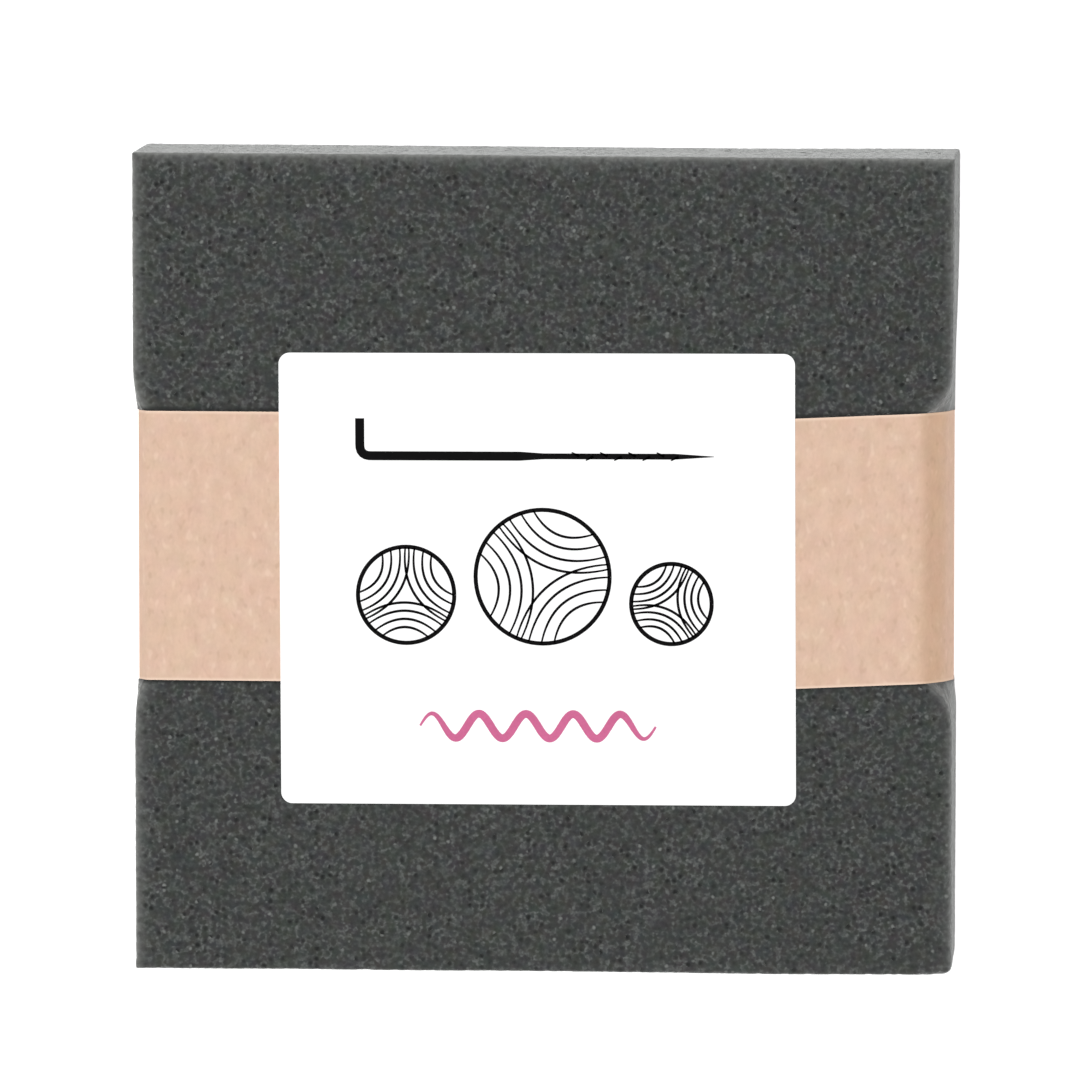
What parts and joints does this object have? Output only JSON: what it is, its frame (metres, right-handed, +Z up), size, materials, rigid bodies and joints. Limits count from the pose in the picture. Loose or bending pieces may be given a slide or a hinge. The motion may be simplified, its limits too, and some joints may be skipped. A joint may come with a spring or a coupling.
{
  "type": "needle felting mat",
  "caption": "Square open-cell foam pad to work wool on with a felting needle, held in a wrapped kraft paper band with a stuck-on paper label.",
  "frame": {"origin": "middle of the pad's back face, which lies on the table", "axes": "+Z up through the pad's thickness, towards the label; +X along the band's front run; +Y across the band, towards the end that the label's top faces"},
  "size_m": [0.1524, 0.1524, 0.0258],
  "materials": {
    "charcoal_foam": "matte",
    "kraft_paper": "matte",
    "label_paper": "satin"
  },
  "bodies": {
    "pad": {"foam_pad": "charcoal_foam"},
    "sleeve": {"kraft_band": "kraft_paper", "front_label": "label_paper"}
  },
  "joints": [
    {"name": "sleeve_slide", "type": "slide", "parent": "pad", "child": "sleeve", "axis": [0, 1, 0], "range_m": [-0.125, 0.125], "deforming": ["foam_pad"]}
  ]
}
